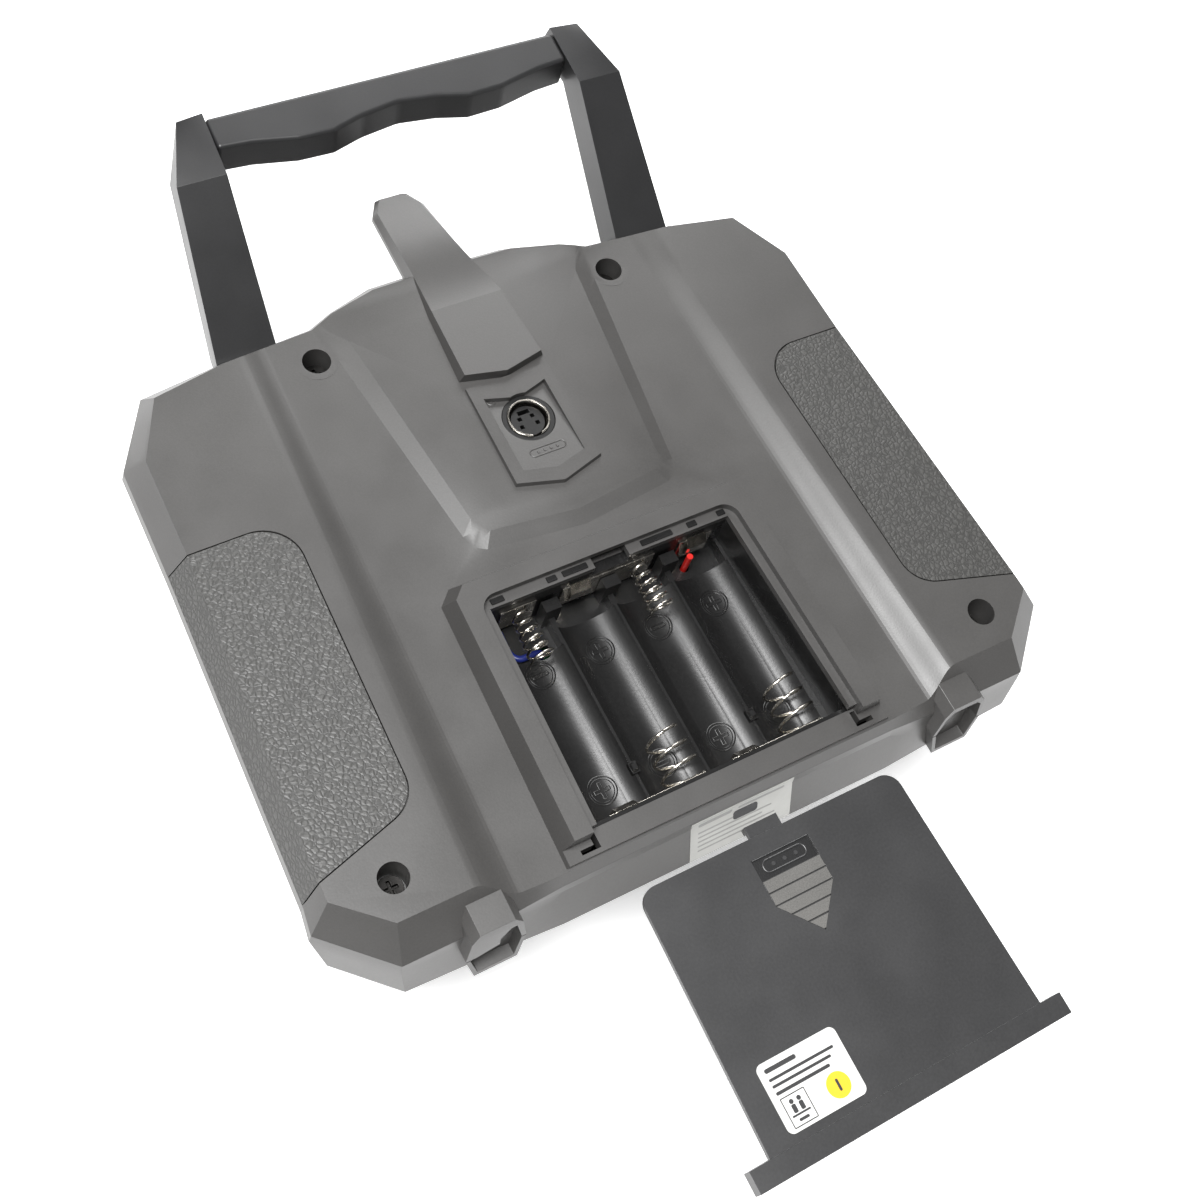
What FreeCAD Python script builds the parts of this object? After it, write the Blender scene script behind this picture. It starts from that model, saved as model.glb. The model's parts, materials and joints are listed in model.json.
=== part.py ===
import FreeCAD
import Part
import math
import os
from FreeCAD import Vector

# Hand-held radio-control transmitter lying face-down, its battery door slid off along the door rails.
# Working axes, in millimetres: X to the right as seen from the back, Y towards the carrying handle,
# Z out of the back. Z = 0 is the flat of the two side lobes. place() moves each piece to the row
# frame, whose origin is the middle of the bounding box on the floor under the stick tips.

# ---- Row origin in working axes
ORIGIN_Y = -3.75
FLOOR_Z = -60.0

# ---- Case outline, right half, from the bottom centre round to the top centre (x, y)
RIM = [(0, -61.2), (44.0, -61.2), (56.0, -58.8), (80.7, -58.8), (91.5, -49.0), (91.4, -44.5),
       (87.7, 34.0), (87.2, 60.0), (79.4, 75.0), (61.0, 78.4), (38.5, 79.8), (32.0, 82.8), (19.5, 85.6),
       (0, 86.0)]
PARTING = [(0, -65.1), (44.0, -65.3), (56.0, -66.0), (82.3, -66.0), (96.3, -52.4), (95.4, -46.4),
           (92.4, 34.0), (91.8, 63.0), (81.3, 80.0), (61.6, 82.7), (37.0, 84.6), (30.4, 87.5),
           (18.4, 91.0), (0, 91.4)]
RIM_Z = 0.0
PARTING_Z = -7.0
WALL = 2.4

# ---- Central panel between the two lobes
STEP_OUTER_BOTTOM = 62.2
STEP_OUTER_TOP = 57.0
STEP_INNER_BOTTOM = 54.8
STEP_INNER_TOP = 51.0
PANEL_Z_TOP = -2.0
PANEL_Z_BOTTOM = -4.1
STEP_EASE = 1.3
STEP_FACETS = 12

# ---- Front case
FRONT_LIP_Z = -10.0
EQUATOR_Z = -20.5
FACE_Z = -40.0
LIP_OFFSET = 0.5
EQUATOR = [(0, -70.5), (44.0, -70.5), (56.0, -69.8), (81.7, -68.8), (94.2, -56.6), (93.7, -46.0),
           (90.8, 34.0), (90.0, 63.0), (79.8, 79.6), (61.0, 82.4), (37.0, 84.0), (30.0, 87.0),
           (18.2, 90.4), (0, 90.8)]
FACE_OFFSET = -5.0
SEAM_GAP = 0.2

# ---- Grip inserts
GRIP = [(99.0, -46.8), (66.2, -36.9), (64.3, 34.6), (99.0, 34.2)]
GRIP_RADII = [0, 8.5, 9.5, 0]
GRIP_DEPTH = 1.6
GRIP_GAP = 0.3

# ---- Raised field round the aerial and the trainer socket
FIELD_FOOT = [(0, 9.2), (24.6, 11.9), (27.3, 13.6), (28.5, 17.0), (36.6, 80.0), (38.5, 100.0)]
FIELD_TOP = [(0, 13.0), (22.3, 15.6), (24.3, 17.0), (25.2, 20.0), (31.3, 74.5), (34.0, 100.0)]
FIELD_RISE = 1.3
SHOULDER_Y = 74.5
SHOULDER_DROP = 2.6

# ---- Trainer socket
SOCKET_Y = 39.6
PLATE_TOP_Z = -0.35
WELL_SHALLOW = 0.1
WELL_DEEP = 1.8
SOCKET_HOLE_R = 6.6
SHELL_R = 5.25
SHELL_WALL = 0.5
CORE_R = 4.2
SOCKET_DEPTH = 11.0

# ---- Battery bay
PLATEAU_Z = 2.0
OPENING_TOP_Y = -0.6
OPENING_END_Y = -57.6
OPENING_HALF_TOP = 33.9
OPENING_HALF_END = 35.4
LEDGE_WIDTH = 2.0
LEDGE_Z0 = -1.8
LEDGE_Z1 = 0.0
WALL_END_Y = -59.3
END_STRIP_Z = -2.8
POCKET_TOP_Y = -3.2
CELL_PITCH = 15.95
CELL_R = 7.25
CELL_AXIS_Z = -7.05
TROUGH_FLOOR_Z = CELL_AXIS_Z - CELL_R
TROUGH_R = 11.2
FIN_TOP_Z = -11.2
FIN_THICKNESS = 0.7
BOX_FLOOR_Z = -16.6
CELL_X = [-1.5 * CELL_PITCH, -0.5 * CELL_PITCH, 0.5 * CELL_PITCH, 1.5 * CELL_PITCH]
TROUGH_TOP_Y = -9.5
FIRST_TROUGH_TOP_Y = -13.5
FIN_START_Y = -6.6
NUB_Y = -47.3
TROUGH_END_Y = -56.6
CONTACT_THICKNESS = 0.4
CONTACT_TOP_Z = -4.6
CONTACT_LOW_Z = -13.4
UPPER_CONTACT_Y = POCKET_TOP_Y - CONTACT_THICKNESS - 0.02
LOWER_CONTACT_Y = TROUGH_END_Y + 0.02
LOWER_PLATES = [(-28.4, -3.6), (3.6, 28.4)]
POCKET_FLOOR_Z = -15.2
TONGUE_REACH = 1.6
TONGUE_HALF = 2.7
SPRING_LENGTH = 12.5
UPPER_SPRING = (1.9, 3.1, 5.5, 0.35)
LOWER_SPRING = (4.2, 5.0, 3.0, 0.38)
LEAD_R = 0.8
RED_LEAD = [(22.2, -6.0, -9.0), (22.2, -6.0, -20.0), (19.5, -8.6, -25.5), (16.0, -11.8, -27.5)]
BLUE_LEAD = [(-28.6, -4.8, -12.4), (-28.4, -9.6, -14.1), (-27.0, -12.2, -14.2), (-20.6, -12.2, -14.2),
             (-20.2, -12.2, -20.5), (-17.5, -12.8, -27.5)]

# ---- Battery door
DOOR_SLID_OUT = 73.5
DOOR_Z0 = 0.35
LATCH_Z0 = -1.3
LATCH_Z1 = -0.1
LATCH_HOOK_Z = -2.4
DOOR_Z1 = 1.8
DOOR_TOP_Y = -1.4
DOOR_HALF_TOP = 33.3
DOOR_HALF_END = 34.9
DOOR_CORNER_R = 4.0
DOOR_RAIL_HALF = 40.0
DOOR_RAIL_Y0 = -64.4
DOOR_RAIL_Y1 = -59.6

# ---- Case screws
SCREW_XY = [(40.4, 72.7), (-40.4, 72.7), (77.4, -50.0), (-77.4, -50.0)]
SCREW_RECESS_R = 3.45
SCREW_SEAT_Z = -10.0
SCREW_HEAD_R = 2.9
SCREW_SHAFT_R = 1.45

# ---- Foot brackets
FOOT_X = 62.0
FOOT_MID_Z = -12.0
FOOT_LEVELS = [(-2.2, 4.1, -68.2), (-4.6, 6.0, -68.8), (FOOT_MID_Z, 7.2, -70.2), (-20.0, 5.2, -72.2)]
FOOT_OPENING = [(-3.5, -4.0), (3.5, -4.0), (4.9, -5.4), (6.1, -12.0), (4.4, -18.8), (-4.4, -18.8),
                (-6.1, -12.0), (-4.9, -5.4)]
FOOT_OPENING_HALF = [(-4.6, -5.2), (-3.2, -5.2), (-0.8, -8.2), (-0.8, -10.6), (6.1, -12.4),
                     (4.4, -18.8), (-4.4, -18.8), (-6.1, -12.0)]

# ---- Gimbals
GIMBAL_X = 50.0
GIMBAL_Y = 27.0
PIVOT_Z = -24.0
DOME_R = 20.5
DOME_WALL = 1.4
DOME_HALF_ANGLE = 70.0
GIMBAL_HALF = 25.0
GIMBAL_HOLE_R = 15.8
YOKE_HALF = 13.0
YOKE_WINDOW = 9.5
PIN_R = 2.0
PIN_CLEARANCE = 0.06

# ---- Controls on the front
TOGGLE_XY = [(68.0, 64.0), (54.0, 64.0), (-54.0, 64.0), (-68.0, 64.0)]
TOGGLE_PIVOT_Z = -43.5
KNOB_X = 17.5
KNOB_Y = 62.0
KNOB_R = 6.5
KEY_X = 41.0
KEY_Y = [-22.0, -32.0, -42.0]
KEY_R = 3.4
TRIM_SIDE_X = 18.5
TRIM_LOW_Y = -6.0
DISPLAY_Y = -32.0
POWER_Y = 6.0
LIGHT_Y = 20.0
EYE_Y = 46.0
EYE_BORE_R = 3.0
EYE_THICKNESS = 3.0


# ---------------------------------------------------------------- helpers

def both_sides(right_half):
    """A closed symmetric outline from its right half, which starts and ends at x = 0."""
    left = [(-x, y) for x, y in reversed(right_half[1:-1])]
    return list(right_half) + left


def polygon_wire(points, z):
    corners = [Vector(x, y, z) for x, y in points]
    return Part.makePolygon(corners + [corners[0]])


def rounded_wire(points, radii, z):
    """A closed polygon with its own rounding radius at each corner."""
    edges = []
    count = len(points)
    ends = []
    for i in range(count):
        before = Vector(*points[i - 1], z)
        corner = Vector(*points[i], z)
        after = Vector(*points[(i + 1) % count], z)
        radius = radii[i]
        if radius == 0:
            ends.append((corner, None, corner))
            continue
        to_before = (before - corner).normalize()
        to_after = (after - corner).normalize()
        half = to_before.getAngle(to_after) / 2
        reach = radius / math.tan(half)
        bisector = (to_before + to_after).normalize()
        middle = corner + bisector * (radius / math.sin(half) - radius)
        ends.append((corner + to_before * reach, middle, corner + to_after * reach))
    for i in range(count):
        start, middle, end = ends[i]
        if middle is not None:
            edges.append(Part.Arc(start, middle, end).toShape())
        following = ends[(i + 1) % count][0]
        if (following - end).Length > 1e-6:
            edges.append(Part.makeLine(end, following))
    return Part.Wire(edges)


def prism(points, z0, z1, radii=None):
    if radii is None:
        wire = polygon_wire(points, z0)
    else:
        wire = rounded_wire(points, radii, z0)
    return Part.Face(wire).extrude(Vector(0, 0, z1 - z0))


def ruled(levels):
    """A solid with flat sides between outlines at several heights."""
    return Part.makeLoft([polygon_wire(points, z) for points, z in levels], True, True)


def skin_loft(sections):
    """A ruled solid through closed sections given as lists of 3-D points."""
    wires = []
    for section in sections:
        corners = [Vector(*p) for p in section]
        wires.append(Part.makePolygon(corners + [corners[0]]))
    return Part.makeLoft(wires, True, True)


def offset_outline(points, distance):
    """Move every side of a counter-clockwise outline outwards by a distance."""
    result = []
    count = len(points)
    for i in range(count):
        a = Vector(*points[i - 1], 0)
        b = Vector(*points[i], 0)
        c = Vector(*points[(i + 1) % count], 0)
        first = (b - a).normalize()
        second = (c - b).normalize()
        normal_first = Vector(first.y, -first.x, 0)
        normal_second = Vector(second.y, -second.x, 0)
        miter = (normal_first + normal_second).normalize()
        scale = distance / miter.dot(normal_first)
        moved = b + miter * scale
        result.append((moved.x, moved.y))
    return result


def box(x0, x1, y0, y1, z0, z1):
    return Part.makeBox(x1 - x0, y1 - y0, z1 - z0, Vector(x0, y0, z0))


def cylinder(x, y, z0, z1, radius):
    return Part.makeCylinder(radius, z1 - z0, Vector(x, y, z0), Vector(0, 0, 1))


def rod(start, end, radius):
    direction = Vector(*end) - Vector(*start)
    return Part.makeCylinder(radius, direction.Length, Vector(*start), direction)


def fused(shapes):
    result = shapes[0]
    for shape in shapes[1:]:
        result = result.fuse(shape)
    return result.removeSplitter()


def mirrored(shape):
    return shape.mirror(Vector(0, 0, 0), Vector(1, 0, 0))


def place(shape, dy=0.0):
    """Move a piece from working axes to the row frame."""
    return shape.translated(Vector(0, dy - ORIGIN_Y, -FLOOR_Z))


def panel_z(y):
    """Height of the central panel, which falls slightly towards the bottom edge."""
    share = (y - RIM[0][1]) / (RIM[-1][1] - RIM[0][1])
    return PANEL_Z_BOTTOM + (PANEL_Z_TOP - PANEL_Z_BOTTOM) * share


# ---------------------------------------------------------------- case

def rear_outer():
    return ruled([(both_sides(PARTING), PARTING_Z), (both_sides(RIM), RIM_Z)])


def panel_cutter():
    """The volume above the central panel; its sides are smooth waves that rise to the lobes."""
    sections = []
    for y in (-75.0, 100.0):
        share = (y + 60.0) / 137.0
        outer = STEP_OUTER_BOTTOM + (STEP_OUTER_TOP - STEP_OUTER_BOTTOM) * share + STEP_EASE
        inner = STEP_INNER_BOTTOM + (STEP_INNER_TOP - STEP_INNER_BOTTOM) * share - STEP_EASE
        low = panel_z(y)
        right = []
        for i in range(STEP_FACETS + 1):
            rise = i / STEP_FACETS
            right.append((inner + (outer - inner) * rise, low * (1 + math.cos(math.pi * rise)) / 2))
        right.append((outer, 5.0))
        left = [(-x, z) for x, z in reversed(right)]
        sections.append([(x, y, z) for x, z in left + right])
    return skin_loft(sections)


def raised_field():
    """The raised field with sloping sides, tilted like the panel, and the shoulder at its far end."""
    foot = both_sides_open(FIELD_FOOT)
    top = both_sides_open(FIELD_TOP)
    buried = [(2 * fx - tx, 2 * fy - ty) for (fx, fy), (tx, ty) in zip(foot, top)]
    field = ruled([(buried, -FIELD_RISE), (foot, 0), (top, FIELD_RISE)])
    slope = (PANEL_Z_TOP - PANEL_Z_BOTTOM) / (RIM[-1][1] - RIM[0][1])
    field.rotate(Vector(0, 0, 0), Vector(1, 0, 0), math.degrees(math.atan(slope)))
    field.translate(Vector(0, 0, panel_z(0)))
    level = panel_z(SHOULDER_Y) + FIELD_RISE
    shoulder = []
    for x in (-45.0, 45.0):
        shoulder.append([(x, SHOULDER_Y, level), (x, SHOULDER_Y, 5), (x, 100, 5),
                         (x, 100, level - SHOULDER_DROP)])
    return field.cut(skin_loft(shoulder)).common(rear_outer())


def both_sides_open(right_half):
    """A symmetric outline whose right half starts at x = 0 and ends away from it."""
    left = [(-x, y) for x, y in reversed(right_half[1:])]
    return list(right_half) + left


def plateau():
    """The raised border round the battery bay."""
    foot = both_sides_open([(0, 6.8), (-38.0, 6.8), (-41.6, 3.2), (-43.0, -62.9)])
    top = both_sides_open([(0, 4.0), (-35.6, 4.0), (-38.6, 1.0), (-40.2, -62.9)])
    return ruled([(foot, panel_z(0) - 1.5), (top, PLATEAU_Z)])


def opening_outline(shrink=0.0, end_y=OPENING_END_Y, top_y=OPENING_TOP_Y):
    """Outline of the battery opening, slightly wider at its lower end."""
    slope = (OPENING_HALF_END - OPENING_HALF_TOP) / (OPENING_TOP_Y - OPENING_END_Y)
    top_half = OPENING_HALF_TOP - shrink
    end_half = OPENING_HALF_TOP + slope * (OPENING_TOP_Y - end_y) - shrink
    return [(-end_half, end_y), (end_half, end_y), (top_half, top_y), (-top_half, top_y)]


def rail_slot():
    """L-shaped slot at the end of a bay wall, where the end of the door's rail hooks in."""
    along_wall = box(34.0, 35.3, -61.9, OPENING_END_Y - 0.6, -9.0, 5.0)
    across = box(34.6, 38.6, -61.9, -60.8, -9.0, 5.0)
    return along_wall.fuse(across)


def grip_prism(grow):
    return prism(offset_grip(grow), PARTING_Z - 0.001, 3.0, GRIP_RADII)


def offset_grip(grow):
    outline = list(reversed(GRIP))
    if grow == 0:
        return GRIP
    return list(reversed(offset_outline(outline, grow)))


def grip_core():
    """What lies under the grips: the case outline, drawn in by the grip's thickness."""
    inner_low = offset_outline(both_sides(PARTING), -GRIP_DEPTH)
    inner_high = offset_outline(both_sides(RIM), -GRIP_DEPTH)
    return ruled([(inner_low, PARTING_Z - 1.0), (inner_high, RIM_Z - GRIP_DEPTH)])


def rear_case():
    shell = rear_outer()
    shell = shell.cut(panel_cutter())
    shell = shell.fuse(plateau())
    shell = shell.fuse(raised_field())
    # Hollow inside: shallow under the panel, deeper under the lobes.
    inner_low = offset_outline(both_sides(PARTING), -WALL)
    inner_high = offset_outline(both_sides(RIM), -WALL)
    lobes = ruled([(inner_low, PARTING_Z - 0.01), (inner_high, RIM_Z - WALL)])
    lobes = lobes.cut(box(-STEP_OUTER_BOTTOM - 3, STEP_OUTER_BOTTOM + 3, -100, 120, -20, 10))
    middle = box(-STEP_OUTER_BOTTOM - 4, STEP_OUTER_BOTTOM + 4, -63.0, 76.0, PARTING_Z - 0.01,
                 PARTING_Z + 0.6)
    shell = shell.cut(lobes).cut(middle)
    # Battery opening: the door's own outline down to a ledge, then a smaller hole over the box.
    shell = shell.cut(prism(opening_outline(), LEDGE_Z1, 5.0, [0, 0, 4.0, 4.0]))
    shell = shell.cut(prism(opening_outline(), -9.0, LEDGE_Z0, [0, 0, 4.0, 4.0]))
    shell = shell.cut(prism(opening_outline(LEDGE_WIDTH, OPENING_END_Y, POCKET_TOP_Y), -9.0, 5.0))
    # Low strip at the lower end, where the door slides out, with the rail's slots beside it.
    strip_half = OPENING_HALF_END
    shell = shell.cut(box(-strip_half, strip_half, -80.0, OPENING_END_Y + 0.01, END_STRIP_Z, 5.0))
    shell = shell.cut(box(-44.0, 44.0, -80.0, WALL_END_Y, END_STRIP_Z, 5.0))
    shell = shell.cut(rail_slot()).cut(mirrored(rail_slot()))
    # Latch notch through the ledge and under the upper lip.
    shell = shell.cut(box(-4.6, 4.6, POCKET_TOP_Y - 0.1, OPENING_TOP_Y + 3.2, -3.4, 0.2))
    # Raised plate round the trainer socket, with a well that gets deeper towards the aerial.
    plate_foot = both_sides_open([(0, 20.0), (12.0, 23.2), (11.7, 52.2)])
    plate_top = both_sides_open([(0, 20.6), (11.4, 23.8), (11.1, 51.8)])
    shell = shell.fuse(ruled([(plate_foot, -3.6), (plate_top, PLATE_TOP_Z)]))
    shell = shell.fuse(cylinder(0, SOCKET_Y, -6.6, PLATE_TOP_Z - 0.5, 8.4))
    well = [(-8.3, 26.5), (0, 24.4), (8.3, 26.5), (8.3, 47.7), (0, 45.3), (-8.3, 47.7)]
    floor_low = PLATE_TOP_Z - WELL_SHALLOW
    floor_high = PLATE_TOP_Z - WELL_DEEP
    wedge = skin_loft([[(x, 24, floor_low), (x, 24, 5), (x, 49, 5), (x, 49, floor_high)] for x in (-9, 9)])
    shell = shell.cut(prism(well, -5.0, 5.0).common(wedge))
    shell = shell.cut(cylinder(0, SOCKET_Y, -20.0, 5.0, SOCKET_HOLE_R))
    # Screw bosses.
    for x, y in SCREW_XY:
        shell = shell.fuse(cylinder(x, y, SCREW_SEAT_Z - 2.0, -2.2, 5.2))
        shell = shell.cut(cylinder(x, y, SCREW_SEAT_Z, 5.0, SCREW_RECESS_R))
        shell = shell.cut(cylinder(x, y, -20.0, 0.0, SCREW_SHAFT_R + 0.25))
    # Beds for the grips.
    bed = rear_outer().common(fused([grip_prism(GRIP_GAP), mirrored(grip_prism(GRIP_GAP))]))
    shell = shell.cut(bed.cut(grip_core()))
    return shell.removeSplitter()


def grip():
    solid = rear_outer().common(grip_prism(0)).cut(grip_core())
    return solid


def front_levels(extra=0.0):
    outline = both_sides(PARTING)
    return [(offset_outline(outline, extra), PARTING_Z - SEAM_GAP),
            (offset_outline(outline, LIP_OFFSET + extra), FRONT_LIP_Z),
            (offset_outline(both_sides(EQUATOR), extra), EQUATOR_Z),
            (offset_outline(both_sides(EQUATOR), FACE_OFFSET + extra), FACE_Z)]


def front_outer(extra=0.0):
    return ruled(list(reversed(front_levels(extra))))


def front_case():
    outline = both_sides(PARTING)
    shell = front_outer()
    widest = both_sides(EQUATOR)
    cavity = ruled([(offset_outline(widest, FACE_OFFSET - WALL), FACE_Z + WALL),
                    (offset_outline(widest, -WALL), EQUATOR_Z),
                    (offset_outline(outline, -WALL), PARTING_Z)])
    shell = shell.cut(cavity)
    for x, y in SCREW_XY:
        post = cylinder(x, y, FACE_Z + 1.0, SCREW_SEAT_Z - 2.2, 4.4)
        shell = shell.fuse(post)
        shell = shell.cut(cylinder(x, y, -30.0, 0.0, SCREW_SHAFT_R + 0.05))
    holes = []
    for side in (-1, 1):
        holes.append(cylinder(side * GIMBAL_X, GIMBAL_Y, FACE_Z - 5, FACE_Z + 5, GIMBAL_HOLE_R))
        holes.append(cylinder(side * KNOB_X, KNOB_Y, FACE_Z - 5, FACE_Z + 5, 3.6))
        holes.append(slot(side * TRIM_SIDE_X, GIMBAL_Y, 3.0, 18.0))
        holes.append(slot(side * GIMBAL_X, TRIM_LOW_Y, 18.0, 3.0))
        for y in KEY_Y:
            holes.append(cylinder(side * KEY_X, y, FACE_Z - 5, FACE_Z + 5, KEY_R + 0.3))
    for x, y in TOGGLE_XY:
        holes.append(cylinder(x, y, FACE_Z - 5, FACE_Z + 5, 3.1))
    holes.append(slot(0, POWER_Y, 11.0, 4.0))
    holes.append(cylinder(0, LIGHT_Y, FACE_Z - 5, FACE_Z + 5, 2.55))
    holes.append(box(-28, 28, DISPLAY_Y - 15, DISPLAY_Y + 15, FACE_Z - 1, FACE_Z + 5))
    holes.append(box(-31, 31, DISPLAY_Y - 18, DISPLAY_Y + 18, FACE_Z - 1, FACE_Z + 1.6))
    for hole in holes:
        shell = shell.cut(hole)
    return shell.removeSplitter()


def slot(x, y, width, height):
    return box(x - width / 2, x + width / 2, y - height / 2, y + height / 2, FACE_Z - 5, FACE_Z + 5)


def foot(shells, opening):
    """A hexagonal loop on the bottom wall, leaning outwards towards its lower end."""
    rows = []
    for z, half, front_y in FOOT_LEVELS:
        rows.append([(FOOT_X - half, front_y, z), (FOOT_X + half, front_y, z),
                     (FOOT_X + half, -60.0, z), (FOOT_X - half, -60.0, z)])
    body = skin_loft(rows)
    corners = [Vector(FOOT_X + x, -90.0, z) for x, z in opening]
    body = body.cut(Part.Face(Part.makePolygon(corners + corners[:1])).extrude(Vector(0, 60, 0)))
    # Groove where the upper and the lower half of the mould met.
    body = body.cut(box(FOOT_X - 10, FOOT_X + 10, -80.0, FOOT_LEVELS[2][2] + 0.3, FOOT_MID_Z - 0.3,
                        FOOT_MID_Z))
    for shell in shells:
        body = body.cut(shell)
    return max(body.Solids, key=lambda s: s.Volume)


def case_screws():
    result = []
    for x, y in SCREW_XY:
        head = cylinder(x, y, SCREW_SEAT_Z, SCREW_SEAT_Z + 2.0, SCREW_HEAD_R)
        head = head.cut(box(x - 1.7, x + 1.7, y - 0.35, y + 0.35, SCREW_SEAT_Z + 0.9, SCREW_SEAT_Z + 3))
        head = head.cut(box(x - 0.35, x + 0.35, y - 1.7, y + 1.7, SCREW_SEAT_Z + 0.9, SCREW_SEAT_Z + 3))
        shaft = cylinder(x, y, SCREW_SEAT_Z - 16.0, SCREW_SEAT_Z, SCREW_SHAFT_R)
        result.append(head.fuse(shaft).removeSplitter())
    return Part.makeCompound(result)


# ---------------------------------------------------------------- handle and aerial

ARM_BACK = [(62.3, 80.5, -3.0), (58.6, 111.3, 23.6), (52.9, 125.8, 27.6)]
ARM_BACK_INNER = [(47.2, 81.0, -2.6), (46.6, 111.0, 24.0), (46.0, 127.4, 26.6)]
ARM_DEPTH = [(6.2, -7.2), (6.6, -6.8), (3.0, -9.0)]
ARM_ROOT = (-16.0, -13.7)


def handle_arm(case_solids):
    sections = []
    root = [(ARM_BACK[0], ARM_BACK_INNER[0], ARM_DEPTH[0], ARM_ROOT)]
    for i in range(3):
        root.append((ARM_BACK[i], ARM_BACK_INNER[i], ARM_DEPTH[i], (0, 0)))
    for outer, inner, depth, shift in root:
        dy, dz = shift
        back_outer = Vector(outer[0], outer[1] + dy, outer[2] + dz)
        back_inner = Vector(inner[0], inner[1] + dy, inner[2] + dz)
        across = back_inner - back_outer
        front = Vector(0, depth[0], depth[1])
        sections.append([back_outer, back_outer + across * 0.05 + front, back_inner + front, back_inner])
    arm = skin_loft(sections)
    for solid in case_solids:
        arm = arm.cut(solid)
    return max(arm.Solids, key=lambda s: s.CenterOfMass.y)


BAR_HALF = 46.0
BAR_LOWER_EDGE = [(46.0, 117.8), (38.0, 117.2), (27.0, 115.1), (18.0, 114.8), (10.0, 116.8), (0, 118.0)]


def handle_bar(arms):
    """The bar, with finger waves along its lower edge."""
    lower = BAR_LOWER_EDGE + [(-x, y) for x, y in reversed(BAR_LOWER_EDGE[:-1])]
    plan = [(x, y) for x, y in lower] + [(-BAR_HALF, 140), (BAR_HALF, 140)]
    slab = prism(plan, 10.0, 30.0)
    profile = [Vector(-BAR_HALF, 110, 24.2), Vector(-BAR_HALF, 126.0, 26.2), Vector(-BAR_HALF, 128.0, 18.0),
               Vector(-BAR_HALF, 110, 15.6)]
    section = Part.Face(Part.makePolygon(profile + [profile[0]])).extrude(Vector(2 * BAR_HALF, 0, 0))
    bar = slab.common(section)
    for arm in arms:
        bar = bar.cut(arm)
    return max(bar.Solids, key=lambda s: s.Volume)


AERIAL_ROWS = [(50.0, 11.0, 1.9, -3.0), (74.4, 10.0, 1.1, -3.4), (89.7, 8.2, -2.4, -6.4),
               (112.5, 6.4, -7.6, -10.4), (117.2, 3.6, -8.7, -10.6)]


def aerial(case_solid):
    """Flat blade aerial with a thick foot, one piece."""
    sections = []
    for y, half, top, low in AERIAL_ROWS:
        sections.append([(-half - 0.9, y, low), (-half - 0.9, y, low + 1.4), (-half + 0.4, y, top),
                         (half - 0.4, y, top),
                         (half + 0.9, y, low + 1.4), (half + 0.9, y, low)])
    blade = skin_loft(sections)
    blade = blade.common(prism([(0, 52.0), (13, 54.9), (13, 130), (-13, 130), (-13, 54.9)], -20, 10))
    blade = blade.cut(case_solid)
    return max(blade.Solids, key=lambda s: s.Volume)


# ---------------------------------------------------------------- trainer socket

def trainer_body():
    low = PLATE_TOP_Z - 1.4 - SOCKET_DEPTH
    body = cylinder(0, SOCKET_Y, low, PLATE_TOP_Z - 1.3, SOCKET_HOLE_R - 0.1)
    return body.cut(cylinder(0, SOCKET_Y, low + 2.0, 5, SHELL_R))


def trainer_shell():
    low = PLATE_TOP_Z + 0.6 - SOCKET_DEPTH
    ring = cylinder(0, SOCKET_Y, low, PLATE_TOP_Z - 0.9, SHELL_R)
    ring = ring.cut(cylinder(0, SOCKET_Y, low - 1, 5, SHELL_R - SHELL_WALL))
    return ring.cut(box(-1.2, 1.2, SOCKET_Y - 8, SOCKET_Y - 4, -4.0, 5))


def trainer_insert():
    low = PLATE_TOP_Z + 0.6 - SOCKET_DEPTH
    core = cylinder(0, SOCKET_Y, low, PLATE_TOP_Z - 2.4, CORE_R)
    for x, y in ((-1.7, 1.0), (1.7, 1.0), (-2.1, -1.2), (2.1, -1.2)):
        core = core.cut(box(x - 0.5, x + 0.5, SOCKET_Y + y - 0.5, SOCKET_Y + y + 0.5, low + 3, 5))
    core = core.cut(box(-1.5, 1.5, SOCKET_Y + 2.0, SOCKET_Y + 3.1, low + 3, 5))
    return core


# ---------------------------------------------------------------- battery bay

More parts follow.
